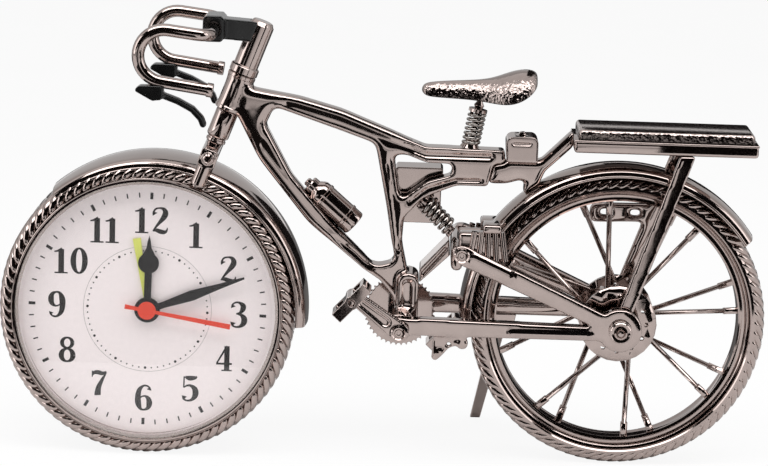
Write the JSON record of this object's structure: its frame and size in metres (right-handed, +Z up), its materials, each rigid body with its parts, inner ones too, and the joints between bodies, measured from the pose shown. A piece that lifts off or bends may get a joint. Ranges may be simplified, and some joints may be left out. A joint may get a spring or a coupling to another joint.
{
  "type": "alarm_clock",
  "caption": "Table alarm clock shaped like a racing bicycle; the drum dial is its front wheel, with a spoked rear wheel, mudguards, saddle, rack, pedals and kickstand",
  "frame": {"origin": "on the ground under the middle of the whole clock, kickstand and pedals included", "axes": "+Z up, -X towards the clock wheel, -Y out of the dial"},
  "size_m": [0.2174, 0.0728, 0.1256],
  "materials": {
    "black_nickel": "black nickel plating, polished",
    "black_gloss": "gloss black",
    "spring_steel": "bright wire",
    "clear_lens": "clear, bevelled edge",
    "dial_card": "matt off-white print",
    "black_case": "fine matt black",
    "white_switch": "matt",
    "textured_pad": "leather-grain moulding",
    "cell_sleeve": "plain sleeve",
    "board_green": "lacquered board",
    "copper_wire": "enamelled winding",
    "brass_disc": "thin disc in a ring",
    "hand_black": "matt black",
    "hand_red": "matt red",
    "hand_yellow": "pale yellow-green"
  },
  "bodies": {
    "frame": {"main_frame": "black_nickel", "frame_box": "black_nickel", "bottle": "black_nickel", "tool_box": "black_nickel", "seat_post": "black_nickel", "seat_spring": "spring_steel", "saddle": "black_nickel", "shock_rod": "black_nickel", "shock_spring": "spring_steel", "rocker_link": "black_nickel", "near_stay": "black_nickel", "far_stay": "black_nickel", "stay_bridge": "black_nickel", "rear_mudguard": "black_nickel", "rack_arm": "black_nickel", "rack_tray": "black_nickel", "rack_pad": "textured_pad", "near_rack_stay": "black_nickel", "far_rack_stay": "black_nickel", "rear_axle": "black_nickel", "stand_bracket": "black_nickel"},
    "rear_wheel": {"rear_rim": "black_nickel", "rear_tyre": "black_nickel"},
    "crank": {"crank_axle": "black_nickel", "chainring": "black_nickel", "near_crank": "black_nickel", "far_crank": "black_nickel"},
    "near_pedal": {"near_pedal": "black_nickel"},
    "far_pedal": {"far_pedal": "black_nickel"},
    "kickstand": {"kickstand": "black_nickel"},
    "steering": {"steerer": "black_nickel", "stem": "black_nickel", "stem_clamp": "black_gloss", "handlebar": "black_nickel", "near_lever": "black_gloss", "far_lever": "black_gloss", "fork_crown": "black_nickel", "front_mudguard": "black_nickel", "front_tyre": "black_nickel", "bezel": "black_nickel", "lens": "clear_lens", "dial": "dial_card", "movement_case": "black_case", "shaft_bridge": "black_case", "battery_cell": "cell_sleeve", "cell_contacts": "spring_steel", "circuit_board": "board_green", "motor_coil": "copper_wire", "buzzer": "brass_disc", "back_cover": "black_case"},
    "time_knob": {"time_knob": "black_case"},
    "minute_hand": {"minute_hand": "hand_black"},
    "hour_hand": {"hour_hand": "hand_black"},
    "second_hand": {"second_hand": "hand_red"},
    "alarm_knob": {"alarm_knob": "black_case"},
    "alarm_hand": {"alarm_hand": "hand_yellow"},
    "alarm_switch": {"alarm_switch": "white_switch"},
    "battery_cover": {"battery_cover": "black_case"}
  },
  "joints": [
    {"name": "steering", "type": "hinge", "parent": "frame", "child": "steering", "pos_m": [-0.0667, -0.00655, 0.042], "axis": [0.3502, 0, 0.9367], "range_deg": [-30, 30]},
    {"name": "rear_wheel_spin", "type": "hinge", "parent": "frame", "child": "rear_wheel", "pos_m": [0.0667, -0.00655, 0.042], "axis": [0, 1, 0], "continuous": true},
    {"name": "crank_turn", "type": "hinge", "parent": "frame", "child": "crank", "pos_m": [0.0047, -0.00655, 0.0403], "axis": [0, 1, 0], "continuous": true},
    {"name": "near_pedal_turn", "type": "hinge", "parent": "crank", "child": "near_pedal", "pos_m": [-0.00854, -0.03155, 0.05031], "axis": [0, 1, 0], "continuous": true},
    {"name": "far_pedal_turn", "type": "hinge", "parent": "crank", "child": "far_pedal", "pos_m": [0.01794, 0.01845, 0.03029], "axis": [0, 1, 0], "continuous": true},
    {"name": "kickstand_fold", "type": "hinge", "parent": "frame", "child": "kickstand", "pos_m": [0.0343, 0.01245, 0.0354], "axis": [0, -1, 0], "range_deg": [0, 85]},
    {"name": "time_set", "type": "hinge", "parent": "steering", "child": "time_knob", "pos_m": [-0.07248, -0.00655, 0.04889], "axis": [0, 1, 0], "continuous": true},
    {"name": "minute_turn", "type": "hinge", "parent": "steering", "child": "minute_hand", "pos_m": [-0.0667, -0.01555, 0.042], "axis": [0, 1, 0], "continuous": true},
    {"name": "hour_turn", "type": "hinge", "parent": "steering", "child": "hour_hand", "pos_m": [-0.0667, -0.01555, 0.042], "axis": [0, 1, 0], "continuous": true},
    {"name": "second_turn", "type": "hinge", "parent": "steering", "child": "second_hand", "pos_m": [-0.0667, -0.01555, 0.042], "axis": [0, 1, 0], "continuous": true},
    {"name": "alarm_set", "type": "hinge", "parent": "steering", "child": "alarm_knob", "pos_m": [-0.05976, -0.00655, 0.05027], "axis": [0, 1, 0], "continuous": true},
    {"name": "alarm_turn", "type": "hinge", "parent": "steering", "child": "alarm_hand", "pos_m": [-0.0667, -0.01555, 0.042], "axis": [0, 1, 0], "continuous": true},
    {"name": "alarm_switch_slide", "type": "slide", "parent": "steering", "child": "alarm_switch", "axis": [1, 0, 0], "range_m": [0, 0.003]},
    {"name": "battery_cover_pull", "type": "slide", "parent": "steering", "child": "battery_cover", "axis": [0, 1, 0], "range_m": [0, 0.02]}
  ],
  "couplings": [
    {"joint": "minute_turn", "follows": "time_set", "ratio": -3},
    {"joint": "hour_turn", "follows": "time_set", "ratio": -0.25},
    {"joint": "alarm_turn", "follows": "alarm_set", "ratio": -0.5}
  ]
}
